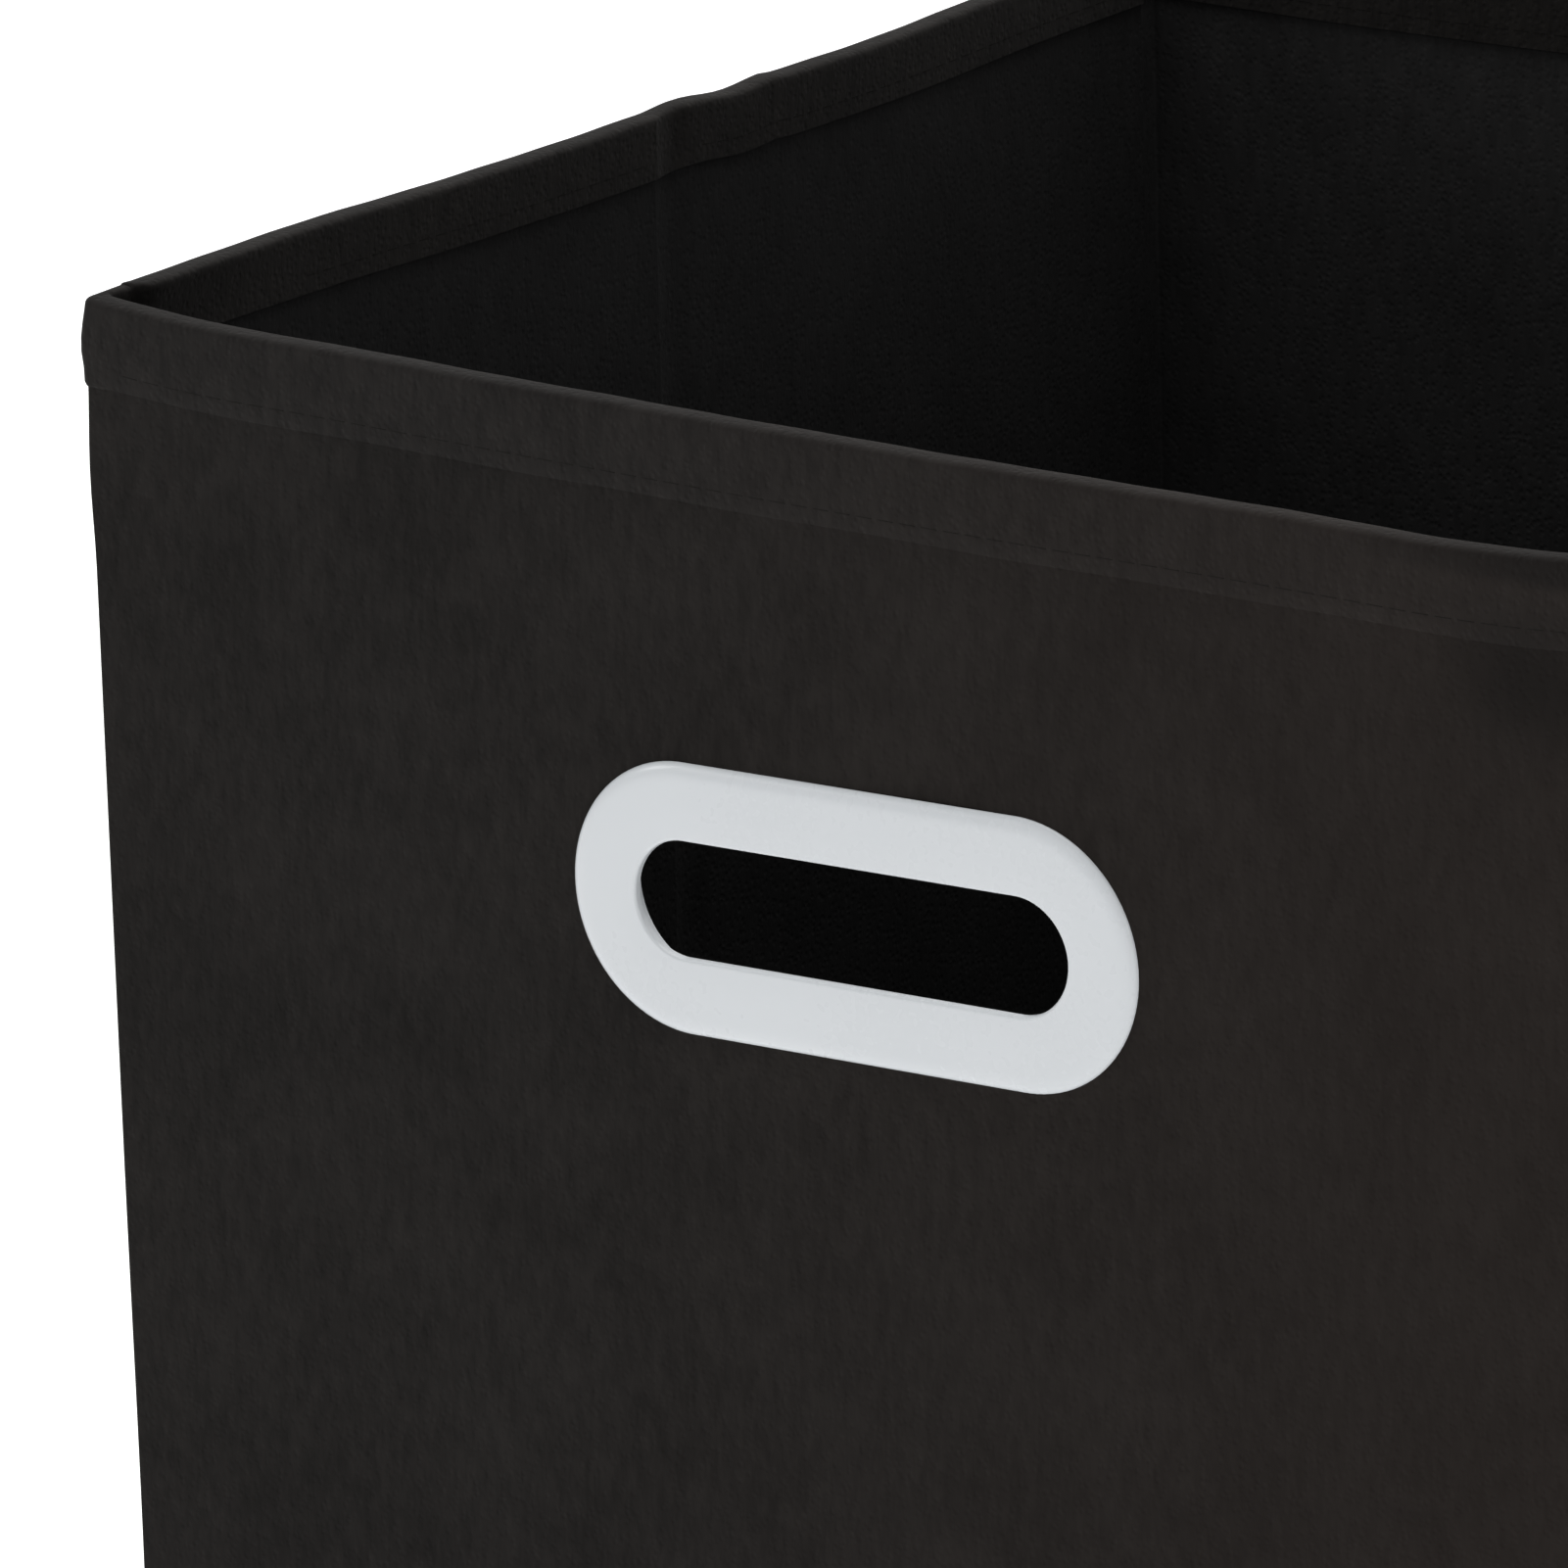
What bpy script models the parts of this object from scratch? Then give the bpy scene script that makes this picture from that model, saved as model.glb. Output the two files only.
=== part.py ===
"""A collapsible fabric storage cube.

Four stiffened fabric walls stand on a fabric floor. The front and back walls are one board each, with an
oval plastic handle eyelet. Each side wall is two half boards with a soft crease between them, so the side
walls fold inwards and the cube closes flat against its front wall. A loose base board keeps it open.
Units are metres, +Z is up, the front wall faces -Y and the origin is on the floor under the middle.
"""

import math

import bpy
from mathutils import Matrix, Vector

# ---- driving dimensions -------------------------------------------------------------------------------
WIDTH = 0.305            # outside, left to right
DEPTH = 0.305            # outside, front to back
HEIGHT = 0.305           # floor to rim

FABRIC = 0.0005          # one ply of the non-woven cover, lining or floor
WALL_BOARD = 0.0022      # chipboard stiffener in a wall
BASE_CORE = 0.0020       # chipboard of the loose base
GAP = 0.0003             # between pieces that touch
HEM_DEPTH = 0.015        # band folded over the rim
EASED_EDGE = 0.0004      # board corners, eased by the cutting press

SLOT_LENGTH = 0.0847     # finger opening of the handle eyelet
SLOT_HEIGHT = 0.0197
RING_WIDTH = 0.0129      # eyelet flange, from the opening to its outer edge
FLANGE = 0.0014          # thickness of the outer flange
BACK_FLANGE = 0.0013     # thickness of the ring clipped on inside
COLLAR = 0.0015          # wall of the collar that goes through the board
COLLAR_INSET = 0.0042    # from the finger edge back to the collar, which the flange hides
COLLAR_CLEARANCE = 0.0005
OUTER_ROUND = 0.0012     # rounding of the flange's outer edge
SLOT_ROUND = 0.0005      # rounding of the flange's finger edge
HANDLE_DROP = 0.0797     # rim to the middle of the opening
FRONT_HANDLE_TILT = -1.5 # degrees, the eyelet's right end sits high
BACK_HANDLE_TILT = 0.0

CREASE_HALF = 0.0045     # from the crease line to the edge of a half board
CREASE_OFFSET = 0.0010   # the crease turns this far outside the cover
WING_START = 0.0013      # from a corner's fold line to the edge of a half board
FOLD_CLEARANCE = 0.0010  # between a folded side wall and an eyelet's back ring
SWING_CLEARANCE = 0.0005 # between the base's tab and the foot of a wall that swings over it
BASE_SIDE_CLEARANCE = 0.0010
TAB_WIDTH = 0.025
TAB_LENGTH = 0.036
TAB_INSET = 0.004        # from the tab to the base's rear edge
TAB_THICKNESS = 0.0008

ARC_STEPS = 16           # facets round each half circle of the eyelet
ROUND_STEPS = 4          # facets of a small rounding
WELD = 0.00001           # points closer than this are one
SHARP_ANGLE = 35         # degrees between faces, past which an edge is drawn sharp

# ---- sizes that follow --------------------------------------------------------------------------------
WALL = 2 * FABRIC + 2 * GAP + WALL_BOARD
WEB = 2 * FABRIC                                     # cover and lining sewn together where they bend
WALL_FOOT = FABRIC + GAP
BASE = 2 * FABRIC + 2 * GAP + BASE_CORE
BASE_TOP = WALL_FOOT + BASE
TAB_TOP = BASE_TOP + GAP + TAB_THICKNESS
SWING_FOOT = TAB_TOP + SWING_CLEARANCE               # foot of the walls that swing over the base
RING_ROOM = GAP + BACK_FLANGE + FOLD_CLEARANCE       # what an eyelet needs inside the wall
BASE_HALF_DEPTH = DEPTH / 2 - WALL - RING_ROOM
BASE_HALF_WIDTH = WIDTH / 2 - WALL - BASE_SIDE_CLEARANCE
CORNER_REACH = 2 * WALL + RING_ROOM                  # outer face of the front wall to the corner's fold line
FOLD_LINE = DEPTH / 2 - CORNER_REACH                 # middle of a side wall to its fold lines
FLANGE_BACK = GAP
COLLAR_END = WALL + GAP + BACK_FLANGE
HANDLE_HEIGHT = HEIGHT - HANDLE_DROP

ROD_LENGTH = 6 * WALL                                # of a cutter through a wall, longer than the eyelet

AS_BUILT = Matrix.Identity(4)                        # the place of a piece made in the cube's own frame

# frames of the four walls: +X runs along the wall, -Y points out of the cube, the origin is on its outer face
WALL_FRAMES = {
    "front": Matrix.Translation((0, -DEPTH / 2, 0)),
    "right": Matrix.Translation((WIDTH / 2, 0, 0)) @ Matrix.Rotation(math.radians(90), 4, "Z"),
    "back": Matrix.Translation((0, DEPTH / 2, 0)) @ Matrix.Rotation(math.radians(180), 4, "Z"),
    "left": Matrix.Translation((-WIDTH / 2, 0, 0)) @ Matrix.Rotation(math.radians(-90), 4, "Z"),
}

# ---- scene, collections and materials -----------------------------------------------------------------
for old in list(bpy.data.objects):
    bpy.data.objects.remove(old, do_unlink=True)


def new_collection(name):
    collection = bpy.data.collections.new(name)
    bpy.context.scene.collection.children.link(collection)
    return collection


CUBE = new_collection("fabric_storage_cube")
TOOLS = new_collection("cutters_and_guides")


def new_material(name, colour, roughness, metallic=0.0):
    material = bpy.data.materials.new(name)
    material.use_nodes = True
    shader = material.node_tree.nodes["Principled BSDF"]
    shader.inputs["Base Color"].default_value = (*colour, 1)
    shader.inputs["Roughness"].default_value = roughness
    shader.inputs["Metallic"].default_value = metallic
    material.diffuse_color = (*colour, 1)
    return material


COVER_FABRIC = new_material("cover_fabric", (0.020, 0.017, 0.015), 0.9)
LINING_FABRIC = new_material("lining_fabric", (0.010, 0.009, 0.009), 0.92)
HEM_FABRIC = new_material("hem_fabric", (0.024, 0.020, 0.018), 0.88)
WEB_FABRIC = new_material("web_fabric", (0.018, 0.015, 0.014), 0.9)
FLOOR_FABRIC = new_material("floor_fabric", (0.014, 0.012, 0.011), 0.92)
CHIPBOARD = new_material("chipboard", (0.28, 0.20, 0.13), 0.85)
WHITE_PLASTIC = new_material("white_plastic", (0.70, 0.74, 0.78), 0.22)


# ---- ways of making a piece ---------------------------------------------------------------------------
def finish(piece, name, material, frame, pivot=None):
    """Names a piece, gives it its material and its place, and hangs it on its body's pivot."""
    piece.name = name
    piece.data.name = name
    piece.data.materials.clear()
    piece.data.materials.append(material)
    piece.matrix_world = frame @ piece.matrix_world
    for collection in list(piece.users_collection):
        collection.objects.unlink(piece)
    CUBE.objects.link(piece)
    if pivot is not None:
        bpy.context.view_layer.update()
        place = piece.matrix_world.copy()
        piece.parent = pivot
        piece.matrix_parent_inverse = pivot.matrix_world.inverted()
        piece.matrix_world = place
    return piece


def block(low, high):
    """A box between two corners, with its scale applied."""
    low, high = Vector(low), Vector(high)
    bpy.ops.mesh.primitive_cube_add(size=1, location=(low + high) / 2)
    piece = bpy.context.object
    piece.dimensions = high - low
    bpy.ops.object.transform_apply(location=False, rotation=False, scale=True)
    return piece


def as_cutter(piece, frame):
    piece.matrix_world = frame @ piece.matrix_world
    for collection in list(piece.users_collection):
        collection.objects.unlink(piece)
    TOOLS.objects.link(piece)
    piece.hide_render = True
    piece.display_type = "WIRE"
    return piece


def cut(piece, cutter):
    boolean = piece.modifiers.new("cut", "BOOLEAN")
    boolean.operation = "DIFFERENCE"
    boolean.solver = "EXACT"
    boolean.object = cutter


def ease(piece):
    """Takes the sharpness off a cut board's edges."""
    bevel = piece.modifiers.new("eased_edges", "BEVEL")
    bevel.width = EASED_EDGE
    bevel.segments = 1


def oval(length, height):
    """Points of a slot outline with round ends, anticlockwise."""
    radius = height / 2
    straight = length / 2 - radius
    points = []
    for side in (1, -1):
        for step in range(ARC_STEPS + 1):
            angle = math.pi * (step / ARC_STEPS - 0.5)
            points.append((side * (straight + radius * math.cos(angle)), side * radius * math.sin(angle)))
    return points


def flat_curve(name, points):
    """A closed 2D outline on the XY plane."""
    curve = bpy.data.curves.new(name, "CURVE")
    curve.dimensions = "2D"
    spline = curve.splines.new("POLY")
    spline.points.add(len(points) - 1)
    for point, (x, y) in zip(spline.points, points):
        point.co = (x, y, 0, 1)
    spline.use_cyclic_u = True
    return curve


def to_mesh(holder, name):
    """The mesh of a curve object as Blender evaluates it, welded, in place of the curve."""
    bpy.context.view_layer.update()
    evaluated = holder.evaluated_get(bpy.context.evaluated_depsgraph_get())
    mesh = bpy.data.meshes.new_from_object(evaluated)
    piece = bpy.data.objects.new(name, mesh)
    piece.matrix_world = holder.matrix_world.copy()
    CUBE.objects.link(piece)
    bpy.data.objects.remove(holder, do_unlink=True)
    bpy.ops.object.select_all(action="DESELECT")
    bpy.context.view_layer.objects.active = piece
    piece.select_set(True)
    bpy.ops.object.mode_set(mode="EDIT")
    bpy.ops.mesh.select_all(action="SELECT")
    bpy.ops.mesh.remove_doubles(threshold=WELD)
    bpy.ops.mesh.normals_make_consistent(inside=False)
    bpy.ops.object.mode_set(mode="OBJECT")
    return piece


def plate(points, thickness):
    """A flat outline filled and given a thickness, in the XY plane, centred on it."""
    curve = flat_curve("plate_outline", points)
    curve.fill_mode = "BOTH"
    curve.extrude = thickness / 2
    holder = bpy.data.objects.new("plate", curve)
    CUBE.objects.link(holder)
    return to_mesh(holder, "plate")


def swept_ring(section):
    """A closed section carried round the finger opening. A section point is (distance from the opening's
    edge, height above the wall's outer face). A profile's +X side faces into an anticlockwise path."""
    outline = [(-distance, height) for distance, height in section]
    profile = bpy.data.objects.new("ring_section", flat_curve("ring_section", outline))
    TOOLS.objects.link(profile)
    path = flat_curve("ring_path", oval(SLOT_LENGTH, SLOT_HEIGHT))
    path.bevel_mode = "OBJECT"
    path.bevel_object = profile
    path.fill_mode = "NONE"
    holder = bpy.data.objects.new("ring", path)
    CUBE.objects.link(holder)
    ring = to_mesh(holder, "ring")
    bpy.data.objects.remove(profile, do_unlink=True)
    ring.data.shade_smooth()
    ring.data.set_sharp_from_angle(angle=math.radians(SHARP_ANGLE))
    return ring


def rounding(centre, radius, start, end):
    """Points of a small arc, angles in degrees."""
    return [
        (centre[0] + radius * math.cos(angle), centre[1] + radius * math.sin(angle))
        for angle in (
            math.radians(start + (end - start) * step / ROUND_STEPS) for step in range(ROUND_STEPS + 1)
        )
    ]


# ---- pivots: one empty for each body that moves, on its fold line -------------------------------------
def new_pivot(name, x, y):
    pivot = bpy.data.objects.new(name, None)
    pivot.location = (x, y, 0)
    CUBE.objects.link(pivot)
    bpy.context.view_layer.update()
    return pivot


CREASE_X = WIDTH / 2 + CREASE_OFFSET
PIVOTS = {
    "left_front": new_pivot("left_front_pivot", -WIDTH / 2, -FOLD_LINE),
    "left_rear": new_pivot("left_rear_pivot", -CREASE_X, 0),
    "right_front": new_pivot("right_front_pivot", WIDTH / 2, -FOLD_LINE),
    "right_rear": new_pivot("right_rear_pivot", CREASE_X, 0),
    "back": new_pivot("back_pivot", -WIDTH / 2, FOLD_LINE),
    "base": new_pivot("base_pivot", 0, 0),
}


# ---- one stiffened stretch of wall --------------------------------------------------------------------
def handle_frame(tilt):
    """From the eyelet's own plane to a wall's frame: its height points out of the wall."""
    turn = Matrix.Rotation(math.radians(tilt), 4, "Y") @ Matrix.Rotation(math.radians(90), 4, "X")
    return Matrix.Translation((0, 0, HANDLE_HEIGHT)) @ turn


def collar_cutter(name, frame):
    """A rod of the collar's outline with its clearance, long enough to go right through the wall."""
    reach = 2 * (COLLAR_INSET + COLLAR + COLLAR_CLEARANCE)
    rod = plate(oval(SLOT_LENGTH + reach, SLOT_HEIGHT + reach), ROD_LENGTH)
    rod.name = name
    return as_cutter(rod, frame)


def wall_panel(name, side, start, end, foot, pivot=None, handle_tilt=None):
    """Board, cover, lining and hem of one stretch of wall, from start to end along its frame."""
    frame = WALL_FRAMES[side]
    hem_foot = HEIGHT - HEM_DEPTH
    fabric_top = hem_foot - GAP
    inside = WALL - FABRIC
    board = block((start, FABRIC + GAP, foot), (end, inside - GAP, HEIGHT - FABRIC - GAP))
    cover = block((start, 0, foot), (end, FABRIC, fabric_top))
    lining = block((start, inside, foot), (end, WALL, fabric_top))
    hem = block((start, 0, hem_foot), (end, WALL, HEIGHT))
    channel = block((start - WALL, FABRIC, hem_foot - WALL), (end + WALL, inside, HEIGHT - FABRIC))
    channel.name = name + "_hem_channel"
    finish(board, name + "_board", CHIPBOARD, frame, pivot)
    finish(cover, name + "_cover", COVER_FABRIC, frame, pivot)
    finish(lining, name + "_lining", LINING_FABRIC, frame, pivot)
    finish(hem, name + "_hem", HEM_FABRIC, frame, pivot)
    cut(hem, as_cutter(channel, frame))
    if handle_tilt is None:
        ease(board)
        return
    cutter = collar_cutter(name + "_collar_cutter", frame @ handle_frame(handle_tilt))
    for piece in (board, cover, lining):
        cut(piece, cutter)


def handle(name, side, tilt, pivot=None):
    """The two halves of an eyelet: the flange with its collar outside, and the ring clipped on inside."""
    front = FLANGE_BACK + FLANGE
    collar_back = COLLAR_INSET + COLLAR
    outer_section = [
        (0, FLANGE_BACK),
        (COLLAR_INSET, FLANGE_BACK),
        (COLLAR_INSET, -COLLAR_END),
        (collar_back, -COLLAR_END),
        (collar_back, FLANGE_BACK),
        (RING_WIDTH, FLANGE_BACK),
        *rounding((RING_WIDTH - OUTER_ROUND, front - OUTER_ROUND), OUTER_ROUND, 0, 90),
        *rounding((SLOT_ROUND, front - SLOT_ROUND), SLOT_ROUND, 90, 180),
    ]
    inner_edge = collar_back + GAP
    inner_section = [
        (inner_edge, -COLLAR_END),
        (RING_WIDTH - SLOT_ROUND, -COLLAR_END),
        (RING_WIDTH, SLOT_ROUND - COLLAR_END),
        (RING_WIDTH, -WALL - GAP),
        (inner_edge, -WALL - GAP),
    ]
    frame = WALL_FRAMES[side] @ handle_frame(tilt)
    finish(swept_ring(outer_section), name + "_handle_flange", WHITE_PLASTIC, frame, pivot)
    finish(swept_ring(inner_section), name + "_handle_back_ring", WHITE_PLASTIC, frame, pivot)


# ---- the four walls -----------------------------------------------------------------------------------
WALL_END = WIDTH / 2 - WEB - GAP
wall_panel("front", "front", -WALL_END, WALL_END, WALL_FOOT, handle_tilt=FRONT_HANDLE_TILT)
handle("front", "front", FRONT_HANDLE_TILT)
wall_panel("back", "back", -WALL_END, WALL_END, SWING_FOOT, PIVOTS["back"], BACK_HANDLE_TILT)
handle("back", "back", BACK_HANDLE_TILT, PIVOTS["back"])

NEAR = CREASE_HALF
FAR = FOLD_LINE - WING_START
wall_panel("left_front", "left", NEAR, FAR, SWING_FOOT, PIVOTS["left_front"])
wall_panel("left_rear", "left", -FAR, -NEAR, SWING_FOOT, PIVOTS["left_rear"])
wall_panel("right_front", "right", -FAR, -NEAR, SWING_FOOT, PIVOTS["right_front"])
wall_panel("right_rear", "right", NEAR, FAR, SWING_FOOT, PIVOTS["right_rear"])


# ---- the webs: two plies of fabric that bend at the corners, along the creases and at the feet ---------
def web(name, side, start, end, foot, top, pivot=None):
    low, high = sorted((start, end))
    finish(block((low, 0, foot), (high, WEB, top)), name, WEB_FABRIC, WALL_FRAMES[side], pivot)


for side, forward in (("left", 1), ("right", -1)):
    corner_start = forward * (FAR + GAP)
    corner_end = forward * DEPTH / 2
    web(f"front_{side}_corner_web", side, corner_start, corner_end, WALL_FOOT, HEIGHT)
    web(f"back_{side}_corner_web", side, -corner_start, -corner_end, SWING_FOOT, HEIGHT, PIVOTS["back"])
    half = CREASE_HALF - GAP
    web(f"{side}_crease_web", side, -half, half, SWING_FOOT, HEIGHT, PIVOTS[f"{side}_front"])
    web(f"{side}_foot_web", side, corner_start - forward * GAP, -corner_end, WALL_FOOT, SWING_FOOT - GAP)
web("back_foot_web", "back", -WALL_END, WALL_END, WALL_FOOT, SWING_FOOT - GAP)

# ---- the floor and the loose base ---------------------------------------------------------------------
floor = block((-WIDTH / 2, -DEPTH / 2, 0), (WIDTH / 2, DEPTH / 2, FABRIC))
finish(floor, "floor_fabric_panel", FLOOR_FABRIC, AS_BUILT)

sleeve = block((-BASE_HALF_WIDTH, -BASE_HALF_DEPTH, WALL_FOOT), (BASE_HALF_WIDTH, BASE_HALF_DEPTH, BASE_TOP))
hollow = block(
    (-WIDTH, FABRIC - BASE_HALF_DEPTH, WALL_FOOT + FABRIC),
    (WIDTH, BASE_HALF_DEPTH - FABRIC, BASE_TOP - FABRIC),
)
hollow.name = "base_sleeve_hollow"
finish(sleeve, "base_sleeve", LINING_FABRIC, AS_BUILT, PIVOTS["base"])
cut(sleeve, as_cutter(hollow, AS_BUILT))

SKIN = FABRIC + GAP
core = block(
    (GAP - BASE_HALF_WIDTH, SKIN - BASE_HALF_DEPTH, WALL_FOOT + SKIN),
    (BASE_HALF_WIDTH - GAP, BASE_HALF_DEPTH - SKIN, BASE_TOP - SKIN),
)
finish(core, "base_core", CHIPBOARD, AS_BUILT, PIVOTS["base"])
ease(core)

tab = plate(oval(TAB_LENGTH, TAB_WIDTH), TAB_THICKNESS)
tab_middle = (0, BASE_HALF_DEPTH - TAB_INSET - TAB_LENGTH / 2, TAB_TOP - TAB_THICKNESS / 2)
tab_frame = Matrix.Translation(tab_middle) @ Matrix.Rotation(math.radians(90), 4, "Z")
finish(tab, "base_pull_tab", HEM_FABRIC, tab_frame, PIVOTS["base"])
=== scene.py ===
# %% [markdown]
# # A collapsible fabric storage cube
# The cube has four walls of dark non-woven cloth over stiff board, an open top with a folded hem, and an
# oval plastic eyelet to pull it by. The CAD frame already holds every piece at its size and place, and the
# joints that fold the side walls inwards. This script gives those pieces the surface that cloth, board and
# plastic have. Everything is in metres, +Z is up and the front wall faces -Y.

# %% Load the frame
import math

import bpy
import numpy as np
from mathutils import Matrix, Vector


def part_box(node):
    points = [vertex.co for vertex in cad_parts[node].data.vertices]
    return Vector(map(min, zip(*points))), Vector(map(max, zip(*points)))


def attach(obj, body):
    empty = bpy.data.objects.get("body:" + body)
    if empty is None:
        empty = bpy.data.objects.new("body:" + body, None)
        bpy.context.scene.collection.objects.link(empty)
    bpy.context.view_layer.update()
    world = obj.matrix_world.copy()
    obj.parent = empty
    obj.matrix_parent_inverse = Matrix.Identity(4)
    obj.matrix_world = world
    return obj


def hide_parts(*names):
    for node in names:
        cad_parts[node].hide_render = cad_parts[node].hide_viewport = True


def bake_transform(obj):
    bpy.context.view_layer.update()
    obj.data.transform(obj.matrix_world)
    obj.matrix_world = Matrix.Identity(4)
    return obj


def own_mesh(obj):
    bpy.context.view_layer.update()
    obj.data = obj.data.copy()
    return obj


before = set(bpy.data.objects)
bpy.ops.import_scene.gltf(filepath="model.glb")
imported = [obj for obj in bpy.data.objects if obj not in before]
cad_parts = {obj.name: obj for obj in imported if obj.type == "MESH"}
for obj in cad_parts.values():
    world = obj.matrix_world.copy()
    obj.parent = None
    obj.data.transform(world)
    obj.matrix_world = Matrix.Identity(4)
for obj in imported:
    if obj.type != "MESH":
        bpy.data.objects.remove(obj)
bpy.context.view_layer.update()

# %% [markdown]
# ## Sizes that the frame gives
# A wall is cover, board and lining. The CAD solids say where each of them starts and ends, so the sizes are
# read from their boxes and nothing has to be fitted by eye.

# %% Read the wall's build-up
cover_low, cover_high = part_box("front_cover")
lining_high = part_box("front_lining")[1]
hem_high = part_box("front_hem")[1]
web_low, web_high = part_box("front_left_corner_web")
wing_low, wing_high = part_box("left_front_board")

HALF = -cover_low.y                     # middle of the cube to a wall's outer face
RIM = hem_high.z                        # height of the rim
CLOTH = cover_high.y - cover_low.y      # one ply
WALL = lining_high.y - cover_low.y      # outer face to inner face
WEB = web_high.x - web_low.x            # two plies sewn together
FRONT_FOOT = cover_low.z
SWING_FOOT = wing_low.z                 # the side and back walls start a little higher
BOARD_NEAR = -wing_high.y               # the crease to a half board's near end
BOARD_FAR = -wing_low.y                 # the crease to its far end
SEAM = HALF - 0.0092                    # where the front wall's cloth meets the side wall's
CREASE_SEAM = BOARD_NEAR - 0.0002       # where the two halves of a side wall's cloth meet
print("wall", round(WALL, 4), "web", round(WEB, 4), "half boards", round(BOARD_NEAR, 4), round(BOARD_FAR, 4))

# %% [markdown]
# ## Tools for working on a mesh
# An operator acts on everything that is selected, and the frame's own nodes come in selected. So each step
# starts with nothing selected and then picks what it needs by its place.

# %% Selecting and finishing
def only(piece):
    """Makes one object the selected and active one, in Object Mode."""
    if bpy.context.mode != "OBJECT":
        bpy.ops.object.mode_set(mode="OBJECT")
    bpy.ops.object.select_all(action="DESELECT")
    piece.select_set(True)
    bpy.context.view_layer.objects.active = piece


def apply_all(piece):
    """Applies the piece's modifiers in their order."""
    only(piece)
    for modifier in list(piece.modifiers):
        bpy.ops.object.modifier_apply(modifier=modifier.name)


def apply_place(piece):
    """Puts the piece's place into its mesh, so that its object sits at the origin."""
    only(piece)
    bpy.ops.object.transform_apply(location=True, rotation=True, scale=True)


def smooth(piece, degrees=40):
    only(piece)
    bpy.ops.object.shade_smooth_by_angle(angle=math.radians(degrees))


def points_of(piece):
    """The mesh's points as rows of x, y, z."""
    rows = np.empty(len(piece.data.vertices) * 3)
    piece.data.vertices.foreach_get("co", rows)
    return rows.reshape(-1, 3)


def move_points(piece, rows):
    piece.data.vertices.foreach_set("co", rows.astype(np.float32).ravel())
    piece.data.update()


def pick(piece, kind, wanted):
    """Selects the edges or faces whose corners are wanted, and leaves the piece in Edit Mode."""
    only(piece)
    bpy.ops.object.mode_set(mode="EDIT")
    bpy.ops.mesh.select_mode(type=kind)
    bpy.ops.mesh.select_all(action="DESELECT")
    bpy.ops.object.mode_set(mode="OBJECT")
    parts = piece.data.edges if kind == "EDGE" else piece.data.polygons
    for part in parts:
        part.select = bool(wanted([piece.data.vertices[i].co for i in part.vertices]))
    bpy.ops.object.mode_set(mode="EDIT")


def solid(piece, thickness, offset):
    """Gives a sheet of cloth its thickness: offset -1 puts it behind the face, 1 in front."""
    modifier = piece.modifiers.new("thickness", "SOLIDIFY")
    modifier.thickness = thickness
    modifier.offset = offset
    apply_all(piece)


def close_up(piece):
    """Merges doubled points and turns every face outwards."""
    only(piece)
    bpy.ops.object.mode_set(mode="EDIT")
    bpy.ops.mesh.select_all(action="SELECT")
    bpy.ops.mesh.remove_doubles(threshold=0.00001)
    bpy.ops.mesh.normals_make_consistent(inside=False)
    bpy.ops.object.mode_set(mode="OBJECT")


# %% [markdown]
# ## The camera
# A long lens keeps the cube's edges nearly parallel, as a shop shows such a cube. The camera looks at the
# front left corner of the rim from the right and from above, and that corner lies up and left of the middle
# of the view. The view leans a little, so the camera is rolled.

# %% Camera
AZIMUTH = math.radians(36.9)            # towards the right of the front wall
ELEVATION = math.radians(17.1)
ROLL = math.radians(-1.54)
DISTANCE = 2.225                        # lens to the rim's corner, along the view
CORNER_ACROSS = -0.1135                 # that corner from the middle of the view
CORNER_UP = 0.0773
SENSOR = 36
LENS = 313.1

forward = Vector((-math.sin(AZIMUTH) * math.cos(ELEVATION),
                  math.cos(AZIMUTH) * math.cos(ELEVATION),
                  -math.sin(ELEVATION)))
level = Vector((math.cos(AZIMUTH), math.sin(AZIMUTH), 0))
upright = level.cross(forward)
right = math.cos(ROLL) * level + math.sin(ROLL) * upright
up = math.cos(ROLL) * upright - math.sin(ROLL) * level
corner = Vector((-HALF, -HALF, RIM))
eye = corner - CORNER_ACROSS * right - CORNER_UP * up - DISTANCE * forward

bpy.ops.object.camera_add()
camera = bpy.context.object
camera.data.lens = LENS
camera.data.sensor_width = SENSOR
camera.data.clip_end = 100
camera.matrix_world = Matrix.Translation(eye) @ Matrix((right, up, -forward)).transposed().to_4x4()
bpy.context.scene.camera = camera
print("camera at", [round(v, 3) for v in eye])

# %% [markdown]
# ## Floor and light
# The cube stands on a white sweep, a floor that curves up into a wall, so that no horizon shows. A dark
# matt cloth needs broad soft lights: a big one above for the rim, and one at each side, which also draw the
# bright curved lines on the eyelet's rounded edge.

# %% The white sweep
SWEEP = 16                              # side of its floor
SWEEP_WALL = 9                          # how high it rises at the back
SWEEP_BEND = 3                          # radius between the two
BEHIND = SWEEP / 2 - 1                  # only the far edge lies beyond this
UNDER_FEET = -0.0006

bpy.ops.object.select_all(action="DESELECT")
bpy.ops.mesh.primitive_plane_add(size=1, location=(0, 0, UNDER_FEET))
sweep = bpy.context.object
sweep.name = "sweep"
sweep.scale = (SWEEP, SWEEP, 1)
apply_place(sweep)
pick(sweep, "EDGE", lambda ends: all(end.y > BEHIND for end in ends))
bpy.ops.mesh.extrude_region_move(TRANSFORM_OT_translate={"value": (0, 0, SWEEP_WALL)})
pick(sweep, "EDGE", lambda ends: all(end.y > BEHIND and end.z < 1 for end in ends))
bpy.ops.mesh.bevel(offset=SWEEP_BEND, segments=16, affect="EDGES")
bpy.ops.object.mode_set(mode="OBJECT")
smooth(sweep)
print("sweep faces", len(sweep.data.polygons))

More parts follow.
